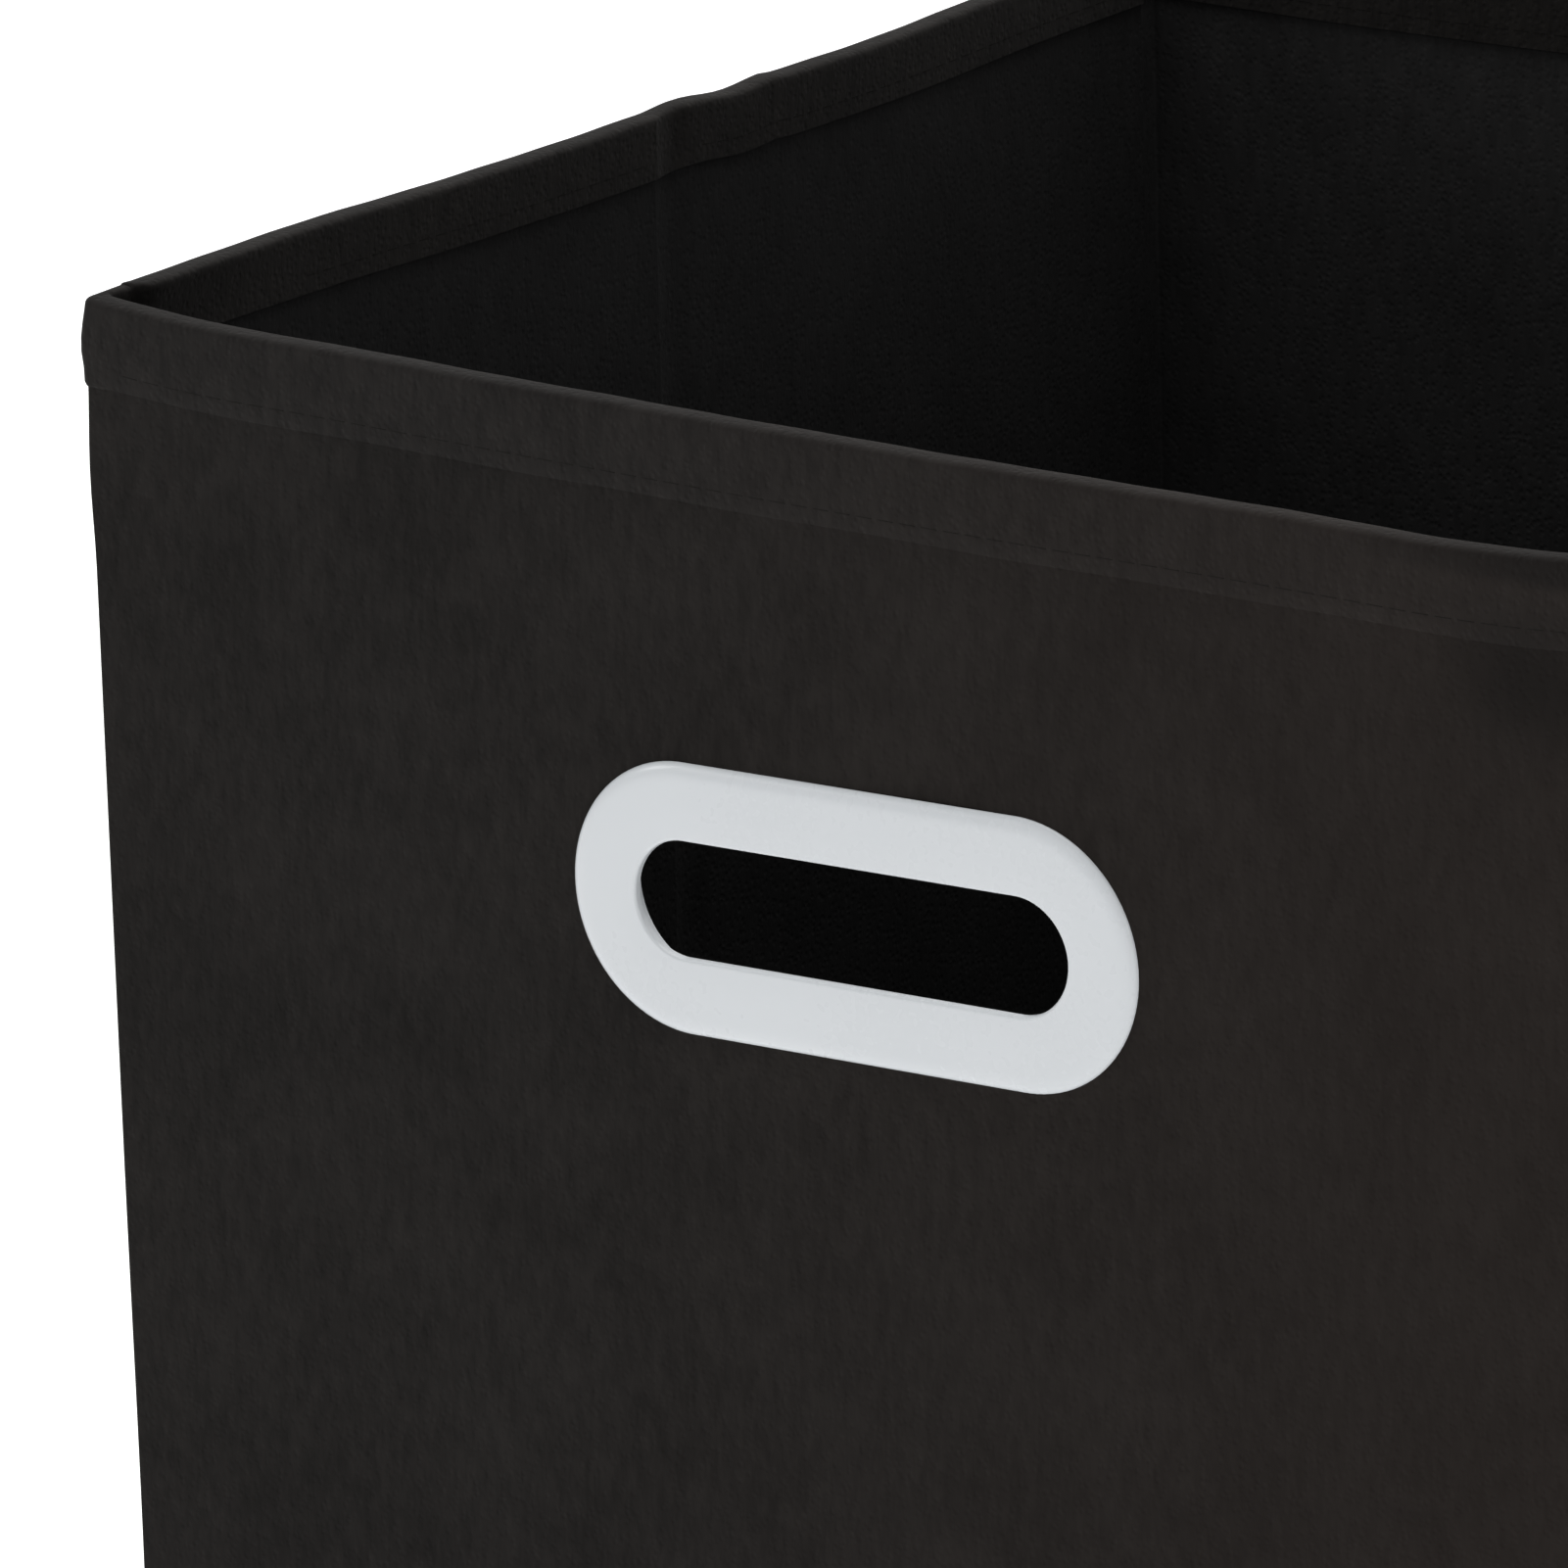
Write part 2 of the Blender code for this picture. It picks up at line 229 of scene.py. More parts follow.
# %% Lights
def softbox(name, place, target, size, watts):
    """A square lamp that faces its target."""
    bpy.ops.object.light_add(type="AREA", location=place)
    lamp = bpy.context.object
    lamp.name = name
    lamp.data.size = size
    lamp.data.energy = watts
    lamp.rotation_euler = (Vector(target) - Vector(place)).to_track_quat("-Z", "Y").to_euler()
    return lamp


softbox("top_light", (-0.3, 0.1, 2.4), (0, 0, 0.2), 2.0, 52)
softbox("left_light", (-2.2, -2.0, 1.2), (0, -0.1, 0.2), 0.7, 7)
softbox("right_light", (2.4, -1.4, 0.9), (0, -0.1, 0.2), 0.7, 6)

world = bpy.data.worlds.new("studio")
bpy.context.scene.world = world
world.use_nodes = True
world.node_tree.nodes["Background"].inputs["Color"].default_value = (1, 1, 1, 1)
world.node_tree.nodes["Background"].inputs["Strength"].default_value = 0.32
bpy.context.scene.view_settings.view_transform = "Standard"

# %% [markdown]
# ## Writing a material as sums
# A material here is a few noises added together, so it reads best as arithmetic. One small class wraps a
# socket and gives it + - * /, and another makes the nodes. Colours never go through a Math node, which
# would turn them grey: they go through Mix.

# %% Sockets with operators
class Flow:
    """A socket's value, for use in an expression."""

    def __init__(self, paint, socket):
        self.paint = paint
        self.socket = socket

    def __add__(self, other):
        return self.paint.sum_up("ADD", self, other)

    def __sub__(self, other):
        return self.paint.sum_up("SUBTRACT", self, other)

    def __mul__(self, other):
        return self.paint.sum_up("MULTIPLY", self, other)

    def __truediv__(self, other):
        return self.paint.sum_up("DIVIDE", self, other)

    def __radd__(self, other):
        return self.paint.sum_up("ADD", other, self)

    def __rsub__(self, other):
        return self.paint.sum_up("SUBTRACT", other, self)

    def __rmul__(self, other):
        return self.paint.sum_up("MULTIPLY", other, self)


class Paint:
    """A material under work."""

    def __init__(self, name):
        self.material = bpy.data.materials.new(name)
        self.material.use_nodes = True
        self.tree = self.material.node_tree
        self.shader = self.tree.nodes["Principled BSDF"]
        self.place = self.node("ShaderNodeTexCoord", output="Object")

    def feed(self, socket, value):
        if isinstance(value, Flow):
            self.tree.links.new(value.socket, socket)
        else:
            socket.default_value = value

    def node(self, kind, settings=None, inputs=None, output=0):
        """Adds a node, sets it, feeds its sockets and gives the named or numbered output."""
        made = self.tree.nodes.new(kind)
        for setting, value in (settings or {}).items():
            setattr(made, setting, value)
        for socket, value in (inputs or {}).items():
            self.feed(made.inputs[socket], value)
        return Flow(self, made.outputs[output])

    def sum_up(self, operation, first, second):
        return self.node("ShaderNodeMath", {"operation": operation}, {0: first, 1: second})

    def stretch(self, scale):
        """The object's coordinates, scaled along each axis."""
        return self.node("ShaderNodeMapping", None, {"Vector": self.place, "Scale": scale})

    def along(self, axis):
        """The place along one axis, in metres."""
        return self.node("ShaderNodeSeparateXYZ", None, {"Vector": self.place}, output=axis)

    def noise(self, scale, detail, at=None, roughness=0.5):
        sockets = {"Vector": at or self.place, "Scale": scale, "Detail": detail, "Roughness": roughness}
        return self.node("ShaderNodeTexNoise", None, sockets)

    def ramp(self, value, low, high):
        """0 below low, 1 above high, and smooth between."""
        settings = {"interpolation_type": "SMOOTHSTEP"}
        return self.node("ShaderNodeMapRange", settings, {"Value": value, "From Min": low, "From Max": high})

    def band(self, value, start, full, fading, end):
        """0 outside start and end, 1 from full to fading."""
        return self.ramp(value, start, full) * (1 - self.ramp(value, fading, end))

    def mix(self, factor, first, second):
        settings = {"data_type": "RGBA", "clamp_factor": True}
        return self.node("ShaderNodeMix", settings, {0: factor, 6: first, 7: second}, output=2)

    def bump(self, height, depth):
        """A normal from a height that runs from 0 to 1, in metres."""
        sockets = {"Height": height, "Distance": depth, "Strength": 1.0}
        return self.node("ShaderNodeBump", None, sockets)

    def finish(self, colour, roughness, normal=None, **fixed):
        self.feed(self.shader.inputs["Base Color"], colour)
        self.feed(self.shader.inputs["Roughness"], roughness)
        if normal is not None:
            self.feed(self.shader.inputs["Normal"], normal)
        for socket, value in fixed.items():
            self.shader.inputs[socket.replace("_", " ")].default_value = value
        return self.material


def rgb(red, green, blue):
    return (red, green, blue, 1)


# %% [markdown]
# ## Non-woven cloth
# The cloth is not woven: short fibres lie in every direction and are bonded by rows of tiny hot pins. Close
# up it is a mottled felt with small dimples and with fibre bundles that run up the wall. Three noises make
# it: a broad one for the cloudy colour, a fine upright one for the bundles, and cells for the dimples. The
# same heights feed the bump, so light and colour agree.

# %% Cloth material
DENT_SHADE_ACROSS = (0.108, 0.128, 0.130, 0.150)     # painted shade of a shallow dent under the rim near the right corner: start, full, fading, end
DENT_SHADE_UP = (0.268, 0.286, 0.288, 0.303)
RIM_SHADE_ACROSS = (0.085, 0.135)          # painted shade: the rim darkens towards the right, where its rolled edge catches no highlight
RIM_SHADE_UP = (0.3000, 0.3030)
RIGHTWARDS = (-0.10, 0.16)              # the outside reddens from here to there


def cloth(name, dark, light, warm=0.0, painted_shade=0.0, sheen=0.02):
    """Non-woven cloth between two colours.

    warm reddens it to the right, and painted_shade darkens, as painted shade, a dent under the rim near the
    right corner and the rim towards the right."""
    paint = Paint(name)
    clouds = paint.noise(34, 4, roughness=0.6)
    bundles = paint.noise(1, 3, at=paint.stretch((1100, 1100, 330)), roughness=0.6)
    flecks = paint.noise(1, 2, at=paint.stretch((420, 420, 150)), roughness=0.5)
    cells = paint.node("ShaderNodeTexVoronoi", {"feature": "F1"}, {"Vector": paint.place, "Scale": 760})
    dimples = paint.ramp(cells, 0.10, 0.55)
    tone = paint.ramp(0.36 * bundles + 0.30 * flecks + 0.34 * clouds, 0.30, 0.70)
    colour = paint.mix(tone, rgb(*dark), rgb(*light))
    across, height_up = paint.along("X"), paint.along("Z")
    if warm:
        redder = paint.ramp(across, *RIGHTWARDS) * warm
        colour = paint.mix(redder, colour, rgb(light[0] * 1.22, light[1] * 0.93, light[2] * 0.80))
    # painted shade: a dark patch for a shallow dent under the rim near the right corner, and a darker rim
    # towards the right
    if painted_shade:
        dent_shade = paint.band(across, *DENT_SHADE_ACROSS) * paint.band(height_up, *DENT_SHADE_UP)
        # painted shade along the rim towards the right, where it catches no highlight
        rim_shade = paint.ramp(across, *RIM_SHADE_ACROSS) * paint.ramp(height_up, *RIM_SHADE_UP)
        shade_colour = rgb(*(0.45 * part for part in dark))
        colour = paint.mix((dent_shade + rim_shade) * painted_shade, colour, shade_colour)
    roughness = 0.80 + 0.16 * bundles
    height = 0.45 * bundles + 0.35 * dimples + 0.20 * flecks
    return paint.finish(colour, roughness, paint.bump(height, 0.00022),
                        Specular_IOR_Level=0.08, Sheen_Weight=sheen, Sheen_Roughness=0.5)


OUTSIDE = ((0.0074, 0.0067, 0.0062), (0.0180, 0.0162, 0.0149))
# the outside cloth and the hem carry that painted shade near the right corner of the rim
COVER = cloth("cover_cloth", *OUTSIDE, warm=0.35, painted_shade=0.6)
HEM = cloth("hem_cloth", *OUTSIDE, warm=0.35, painted_shade=0.6, sheen=0.05)
LINING = cloth("lining_cloth", (0.0104, 0.0102, 0.0102), (0.0176, 0.0172, 0.0172))
# a lighter copy of the lining for the back wall's inside, which faces away from the lamps: painted light
LIT_BACK_LINING = cloth("back_lining_cloth", (0.0150, 0.0147, 0.0147), (0.0255, 0.0250, 0.0250))
FLOOR = cloth("floor_cloth", (0.0086, 0.0078, 0.0072), (0.0150, 0.0134, 0.0124))
for material in (COVER, HEM, LINING, LIT_BACK_LINING, FLOOR):
    print("cloth", material.name)

# %% [markdown]
# ## Board, thread and plastic
# The boards are grey-brown chipboard with flattened chips of paper pulp. The thread is the cloth's own
# colour, a little shinier. The eyelet is moulded glossy plastic, a cool white, with the faint unevenness
# that a mould leaves.

# %% Board, thread and plastic materials
def chipboard():
    paint = Paint("chipboard")
    cells = {"Vector": paint.place, "Scale": 420}
    chips = paint.node("ShaderNodeTexVoronoi", {"feature": "F1"}, cells, output="Color")
    chip = paint.node("ShaderNodeSeparateXYZ", None, {"Vector": chips}, output="X")
    grain = paint.noise(900, 4)
    tone = 0.55 * chip + 0.45 * grain
    colour = paint.mix(tone, rgb(0.17, 0.125, 0.085), rgb(0.38, 0.29, 0.20))
    return paint.finish(colour, 0.75 + 0.2 * grain, paint.bump(tone, 0.00015))


def sewing_thread():
    paint = Paint("sewing_thread")
    twist = paint.noise(2600, 2)
    colour = paint.mix(twist, rgb(0.005, 0.0045, 0.004), rgb(0.010, 0.0090, 0.0082))
    return paint.finish(colour, 0.75 + 0.2 * twist, paint.bump(twist, 0.00008), Specular_IOR_Level=0.1)


def moulded_plastic():
    paint = Paint("moulded_white_plastic")
    swirl = paint.noise(22, 1)
    grain = paint.noise(500, 1)
    colour = paint.mix(swirl, rgb(0.590, 0.618, 0.642), rgb(0.640, 0.664, 0.686))
    roughness = 0.20 + 0.10 * swirl + 0.05 * grain
    return paint.finish(colour, roughness, paint.bump(0.9 * swirl + 0.1 * grain, 0.00005),
                        Coat_Weight=0.25, Coat_Roughness=0.08)


def paper_sweep():
    paint = Paint("sweep_paper")
    grain = paint.noise(40, 3)
    colour = paint.mix(grain, rgb(0.90, 0.90, 0.90), rgb(0.93, 0.93, 0.93))
    paint.shader.inputs["Emission Color"].default_value = rgb(1, 1, 1)
    paint.shader.inputs["Emission Strength"].default_value = 0.50
    return paint.finish(colour, 0.9)


BOARD = chipboard()
THREAD = sewing_thread()
PLASTIC = moulded_plastic()
sweep.data.materials.append(paper_sweep())
print("other materials", BOARD.name, THREAD.name, PLASTIC.name)


def dress(piece, name, material):
    """Names a piece and gives it its one material."""
    piece.name = name
    piece.data.name = name
    piece.data.materials.clear()
    piece.data.materials.append(material)
    return piece


# %% [markdown]
# ## How a real cube stands
# Cloth over thin board is never quite flat. The side walls bow out near the front and tuck in behind their
# crease, the hem stands up in a small peak at each corner, and the cloth puckers a little under it. One
# function holds all of this, and every cloth and board is passed through it, so that neighbours move
# together and nothing pokes out.

# %% The cube's lean and slack
def ease(value, start, end):
    """0 before start, 1 after end, and smooth between."""
    t = np.clip((value - start) / (end - start), 0, 1)
    return t * t * (3 - 2 * t)


def swell(value, middle, reach):
    """1 at the middle, and 0 from reach on."""
    return 0.5 + 0.5 * np.cos(np.pi * np.clip((value - middle) / reach, -1, 1))


def waves(place, parts):
    """Several swells added up, each given as (height, middle, reach)."""
    return sum(height * swell(place, middle, reach) for height, middle, reach in parts)


ROUND_CORNER = 0.0093                   # the front and back walls' cloth goes this far round a corner
CORNER_PEAK = 0.0021                    # the front left corner of the rim over the side walls' rim
CORNER_PEAK_REACH = 0.034
RIGHT_PEAK = 0.0032
RIGHT_PEAK_REACH = 0.050
LEFT_RISE = 0.0004                      # the left rim all along
FRONT_WAVES = ((0.0004, -0.115, 0.060), (0.0004, 0.085, 0.055), (-0.0002, -0.01, 0.07))
LEFT_WAVES = ((0.0005, 0.158, 0.010), (-0.0004, 0.172, 0.009), (0.0003, 0.1815, 0.0045),
              (-0.0005, 0.212, 0.060))
BACK_WAVES = ((0.0022, 0.02, 0.135),)
BOW_WAVES = ((0.0012, 0.057, 0.048), (-0.0015, 0.212, 0.070))   # out near the front, in behind the crease
RIGHT_SHARE = 0.7                       # the right wall bows less than the left one
BEHIND_FRONT = 0.0092                   # where the side walls' rim starts to fall from the front corners
LEFT_FALL_END = 0.150                   # and where it is level
RIGHT_FALL_END = 0.090


def rim_rise(x, y):
    """How far the rim stands over its straight line."""
    behind = y + HALF
    front_rim = CORNER_PEAK * np.clip(1 - (x + HALF) / CORNER_PEAK_REACH, 0, 1) ** 2
    front_rim += RIGHT_PEAK * np.clip(1 - (HALF - x) / RIGHT_PEAK_REACH, 0, 1) ** 2
    front_rim += waves(x, FRONT_WAVES)
    left_rim = CORNER_PEAK * (1 - ease(behind, BEHIND_FRONT, LEFT_FALL_END)) + LEFT_RISE
    left_rim += waves(behind, LEFT_WAVES)
    right_rim = RIGHT_PEAK * (1 - ease(behind, BEHIND_FRONT, RIGHT_FALL_END))
    side_rim = np.where(x < 0, left_rim, right_rim)
    rear_rim = np.where(behind > 2 * HALF - ROUND_CORNER, waves(x, BACK_WAVES), side_rim)
    return np.where(behind < ROUND_CORNER, front_rim, rear_rim)


CORNER_LEAN = 0.0005                    # how far the front left corner stands out, all the way up
LEAN_HIGH = 0.0007                      # more of it towards the rim
LEAN_LOW = -0.0007                      # and less of it towards the foot
CORNER_SWELLS = ((0.0005, 0.029, 0.016), (0.0005, 0.0085, 0.0045))  # under the hem, and in its middle
DRAWN_IN = 0.0009                       # the very top, where the tape is folded


def corner_lean(below, z):
    """How far the front left corner stands out at a depth below the rim."""
    lean = CORNER_LEAN + LEAN_HIGH * np.clip(1 - below / 0.14, 0, 1)
    lean += LEAN_LOW * ease(below, 0.13, 0.22) * ease(z, 0.01, 0.08)
    lean += waves(below, CORNER_SWELLS) - DRAWN_IN * (1 - ease(below, 0, 0.0055))
    return lean * ease(z, 0.005, 0.030)


def settle(piece):
    """Moves a wall piece's points as the standing cube's walls lie."""
    rows = points_of(piece)
    x, y, z = rows.T.copy()
    behind = y + HALF
    on_side = ease(np.abs(x), HALF - 0.012, HALF - 0.006)
    share = np.where(x < 0, 1.0, RIGHT_SHARE)
    height = np.clip(z / RIM, 0, 1)
    rows[:, 0] += np.sign(x) * on_side * share * waves(behind, BOW_WAVES) * height ** 1.5
    near_corner = (1 - ease(x, -HALF, -HALF + 0.045)) * (1 - ease(behind, 0.012, 0.060))
    rows[:, 0] -= near_corner * corner_lean(RIM - z, z)
    rows[:, 2] += rim_rise(x, y) * ease(z, RIM - 0.060, RIM - 0.004)
    move_points(piece, rows)
    return piece


print("rim at the front left corner", round(RIM + float(rim_rise(-HALF, -HALF)), 4))

# %% [markdown]
# ## Lines on the floor plan
# A cloth is cut flat and then goes round the cube. Each wall gets two lines on the floor plan: one for its
# outer face and one for its inner face. Where a board ends, the inner line slopes out towards the two sewn
# plies, which is where the cube bends. Both lines of a wall have the same number of points, so that a hem
# can cross from one to the other.

# %% Straight runs and arcs in plan
CORNER_ROUND = 0.0008
INNER_ROUND = 0.0006
CREASE_SAG = 0.0006                     # of the lining, between the two half boards
HOLLOW = 0.0005                         # the lining stands this far off the web at a corner's fold line
FOLD = HALF - 0.0102                    # the corners' fold lines, either way from the middle
FOLD_HALF = 0.0010                      # cloth that bends, either side of a fold line
PANEL_COLUMNS = 84
WING_COLUMNS = 44
END_COLUMNS = 5                         # round a corner, and along its short straight legs
BEND_COLUMNS = 8                        # from a half board's end to its fold line


def straight(start, end, count):
    """Points from start to end, without the last one."""
    return [tuple(Vector(start).lerp(Vector(end), i / count)) for i in range(count)]


def turn(middle, radius, start, end, count):
    """Points of an arc without the last one, angles in degrees."""
    angles = [math.radians(start + (end - start) * i / count) for i in range(count)]
    return [(middle[0] + radius * math.cos(a), middle[1] + radius * math.sin(a)) for a in angles]


def cross_wall_line(face, reach, seam, rounding, hollow):
    """The front wall's line: forward along the left side, along the front, and back along the right side."""
    inset = reach - rounding
    depth = face - rounding
    points = straight((-reach + hollow, -seam), (-reach, -depth), END_COLUMNS)
    points += turn((-inset, -depth), rounding, 180, 270, END_COLUMNS)
    points += straight((-inset, -face), (inset, -face), PANEL_COLUMNS)
    points += turn((inset, -depth), rounding, 270, 360, END_COLUMNS)
    points += straight((reach, -depth), (reach - hollow, -seam), END_COLUMNS)
    return points + [(reach - hollow, -seam)]


def half_wall_line(proud, inner, start, end, near, far):
    """A left half wall's line from start to end, with its board between near and far.

    Inside, the cloth slopes out to the web at the corner, and sags a little where it spans the crease."""
    thick = HALF - WALL - proud if inner else HALF + proud
    corner = HALF - WEB - proud - HOLLOW if inner else HALF + proud
    at_start, at_end = (thick, corner) if abs(start) < abs(end) else (corner, thick)
    points = straight((-at_start, start), (-thick, near), BEND_COLUMNS)
    points += straight((-thick, near), (-thick, far), WING_COLUMNS)
    points += straight((-thick, far), (-at_end, end), BEND_COLUMNS)
    points += [(-at_end, end)]
    if not inner:
        return points
    return [(x - CREASE_SAG * max(0, 1 - (y / CREASE_SEAM) ** 2), y) for x, y in points]


def mirrored(points):
    return [(-x, y) for x, y in points]


def turned_back(points):
    """The same line on the back wall, half a turn away."""
    return [(-x, -y) for x, y in points]


print("fold lines at", round(FOLD, 4))

# %% [markdown]
# Every run of cloth is named here once with its two lines. The cloth goes round the cube against the clock,
# seen from above, so that a face made from left to right and upwards points outwards. The back wall's cloth
# starts before the left fold line and ends at the right one, where the CAD linkage is open.

# %% The six runs of cloth
OPEN_GAP = 0.0001                       # either side of the back right fold line


def cross_wall(inner, proud, seam):
    if inner:
        return cross_wall_line(HALF - WALL - proud, HALF - WEB - proud, seam, INNER_ROUND, HOLLOW)
    return cross_wall_line(HALF + proud, HALF + proud, seam, CORNER_ROUND + proud, 0)


def front_run(inner, proud):
    return cross_wall(inner, proud, SEAM)


def back_run(inner, proud):
    points = turned_back(cross_wall(inner, proud, FOLD - FOLD_HALF))
    low, high = FOLD - FOLD_HALF, HALF - CORNER_ROUND
    start = FOLD + OPEN_GAP
    for i in range(END_COLUMNS + 1):
        x, y = points[i]
        points[i] = (x, start + (high - start) * (y - low) / (high - low))
    return points


def left_front_run(inner, proud):
    line = half_wall_line(proud, inner, -SEAM, -CREASE_SEAM, -BOARD_FAR, -BOARD_NEAR)
    return line[::-1]


def left_rear_run(inner, proud):
    line = half_wall_line(proud, inner, -CREASE_SEAM, FOLD - FOLD_HALF, BOARD_NEAR, BOARD_FAR)
    return line[::-1]


def right_front_run(inner, proud):
    return mirrored(left_front_run(inner, proud))[::-1]


def right_rear_run(inner, proud):
    line = half_wall_line(proud, inner, -CREASE_SEAM, FOLD - OPEN_GAP, BOARD_NEAR, BOARD_FAR)
    return mirrored(line)


RUNS = {
    "front": (front_run, FRONT_FOOT),
    "left_front": (left_front_run, SWING_FOOT),
    "left_rear": (left_rear_run, SWING_FOOT),
    "back": (back_run, SWING_FOOT),
    "right_front": (right_front_run, SWING_FOOT),
    "right_rear": (right_rear_run, SWING_FOOT),
}
for name, (run, foot) in RUNS.items():
    print(name, len(run(False, 0)), "columns", "foot", round(foot, 4))

# %% [markdown]
# ## Laying cloth along its line
# A flat grid is the cut cloth. Its columns are moved onto the wall's line and its rows onto a profile, a
# list of (how far through the wall, height). A cover's profile stays on the outer line, a lining's on the
# inner one, and a hem's goes over the rim from one to the other. Then Solidify gives the ply its thickness.

# %% Lay a grid of cloth
def lay(name, wall, profile, outer_proud=0.0, inner_proud=0.0):
    """A sheet over the wall's two lines, with a column for each point and a row for each profile step."""
    run = RUNS[wall][0]
    outer, inner = np.array(run(False, outer_proud)), np.array(run(True, inner_proud))
    columns, rows = len(outer) - 1, len(profile) - 1
    bpy.ops.object.select_all(action="DESELECT")
    bpy.ops.mesh.primitive_grid_add(x_subdivisions=columns, y_subdivisions=rows, size=1)
    piece = bpy.context.object
    piece.name = name
    flat = points_of(piece)
    column = np.rint((flat[:, 0] + 0.5) * columns).astype(int)
    row = np.rint((flat[:, 1] + 0.5) * rows).astype(int)
    across, height = np.array(profile).T
    share = across[row][:, None]
    plan = outer[column] * (1 - share) + inner[column] * share
    move_points(piece, np.column_stack((plan, height[row])))
    return piece


def levels(low, high, step):
    """Heights from low to high, about a step apart."""
    count = max(2, round((high - low) / step))
    return [low + (high - low) * i / count for i in range(count + 1)]


# %% [markdown]
# ## Cover and lining
# The cover is the cloth seen from outside, and the lining the one seen inside. The cover of the front wall
# goes round both corners to the fold lines. A panel between two sewn edges stands a little proud in its
# middle, and the cover has a shallow crease just over the floor, where the seam below pulls it in.

# %% Covers
PANEL_STEP = 0.0040
PUFF = 0.0005                           # how proud a cover stands in the middle of a board
SEAM_DIP = 0.0003                       # how far the seam below draws a side cover in
FOOT_ROWS = (0, 0.0008, 0.0018, 0.0030, 0.0050)     # closer rows over the foot, for that dip
LAST_FOOT_ROW = 0.0080
OUTER_HEM = 0.0145
INNER_HEM = 0.0110
TUCKED = 0.0040                         # cloth that goes on under the hem
SIDE_DEPTH = 0.006                      # a point this near to a side wall's face belongs to that wall


def along_wall(x, y):
    """The place along the wall that a point belongs to."""
    return np.where(np.abs(x) > HALF - SIDE_DEPTH, y, x)


def relief(piece, amount):
    """Puffs a panel and adds the slow unevenness of slack cloth, along its own normals."""
    rows = points_of(piece)
    normals = np.empty(len(rows) * 3)
    piece.data.vertices.foreach_get("normal", normals)
    normals = normals.reshape(-1, 3)
    x, y, z = rows.T
    along = along_wall(x, y)
    on_cross = np.abs(x) <= HALF - SIDE_DEPTH
    middle = np.where(on_cross, 0.0, np.sign(y) * FOLD / 2)
    reach = np.where(on_cross, HALF - 0.002, FOLD / 2 - 0.003)
    panel = 1 - np.clip(np.abs(along - middle) / reach, 0, 1) ** 4
    panel *= ease(z, 0.004, 0.050) * (1 - ease(z, RIM - 0.030, RIM - 0.008))
    slow = np.sin(along * 61 + z * 23 + 1.3) * np.sin(z * 47 - along * 17 + 0.4)
    quick = np.sin(along * 173 + z * 61 + 2.1) * np.sin(z * 139 + along * 83)
    puff = amount * panel * (0.62 + 0.30 * slow + 0.14 * quick)
    rows += normals * puff[:, None]
    move_points(piece, rows)
    return piece


def cover(wall, *replaced):
    foot = RUNS[wall][1]
    heights = [foot + rise for rise in FOOT_ROWS]
    heights += levels(foot + LAST_FOOT_ROW, RIM - OUTER_HEM - 0.002, PANEL_STEP)
    heights += [RIM - OUTER_HEM, RIM - OUTER_HEM + TUCKED]
    piece = lay(wall + "_cover", wall, [(0, z) for z in heights])
    relief(piece, PUFF)
    rows = points_of(piece)
    on_side = np.abs(rows[:, 0]) > HALF - 0.001
    rows[:, 0] -= np.sign(rows[:, 0]) * on_side * SEAM_DIP * (1 - ease(rows[:, 2], foot, foot + 0.003))
    move_points(piece, rows)
    solid(piece, CLOTH, -1)
    settle(piece)
    smooth(piece)
    dress(piece, wall + "_cover_cloth", COVER)
    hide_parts(wall + "_cover", *replaced)
    return piece


COVERS = {
    "front": cover("front", "front_left_corner_web", "front_right_corner_web"),
    "left_front": cover("left_front"),
    "left_rear": cover("left_rear", "left_crease_web"),
    "back": cover("back", "back_left_corner_web", "back_right_corner_web"),
    "right_front": cover("right_front"),
    "right_rear": cover("right_rear", "right_crease_web"),
}
for wall, piece in COVERS.items():
    print(wall, "cover", len(piece.data.polygons), "faces")

# %% [markdown]
# The linings hang straighter. Their upper edge goes under the hem's inner leg, and their inner face is the
# line itself, so the thickness is added behind it.

# %% Linings
LINING_SLACK = 0.0003


def lining(wall):
    foot = RUNS[wall][1]
    heights = levels(foot, RIM - INNER_HEM - 0.002, PANEL_STEP) + [RIM - INNER_HEM + TUCKED]
    piece = lay(wall + "_lining", wall, [(1, z) for z in heights])
    relief(piece, -LINING_SLACK)
    solid(piece, CLOTH, 1)
    settle(piece)
    smooth(piece)
    # the back wall's lining gets the lighter copy, painted light
    dress(piece, wall + "_lining_cloth", LIT_BACK_LINING if wall == "back" else LINING)
    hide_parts(wall + "_lining")
    return piece


LININGS = {wall: lining(wall) for wall in RUNS}
for wall, piece in LININGS.items():
    print(wall, "lining", len(piece.data.polygons), "faces")

# %% [markdown]
# ## Hems
# A tape is folded over the rim and sewn through. Its outer leg is longer than its inner one, its top is
# flat over the board with rounded shoulders, and its lower edges stand proud of the cloth by their own
# thickness.

# %% Hems
HEM_PROUD = 0.00055
HEM_PROUD_INSIDE = 0.0006
PRESSED_FLAT = 0.00040                  # how far the ironed lower edge sinks back on the broad walls
RIM_WAVER = 0.00007                     # unevenness of the fold on the rim
EDGE_WAVER = 0.00010                    # and of the lower edge
HEM_STEP = 0.0022
SHOULDER = 0.0013                       # height of the rounded shoulders
SHOULDER_STEPS = 12
ROUNDNESS = 0.62                        # under 1 makes the top flatter than an ellipse


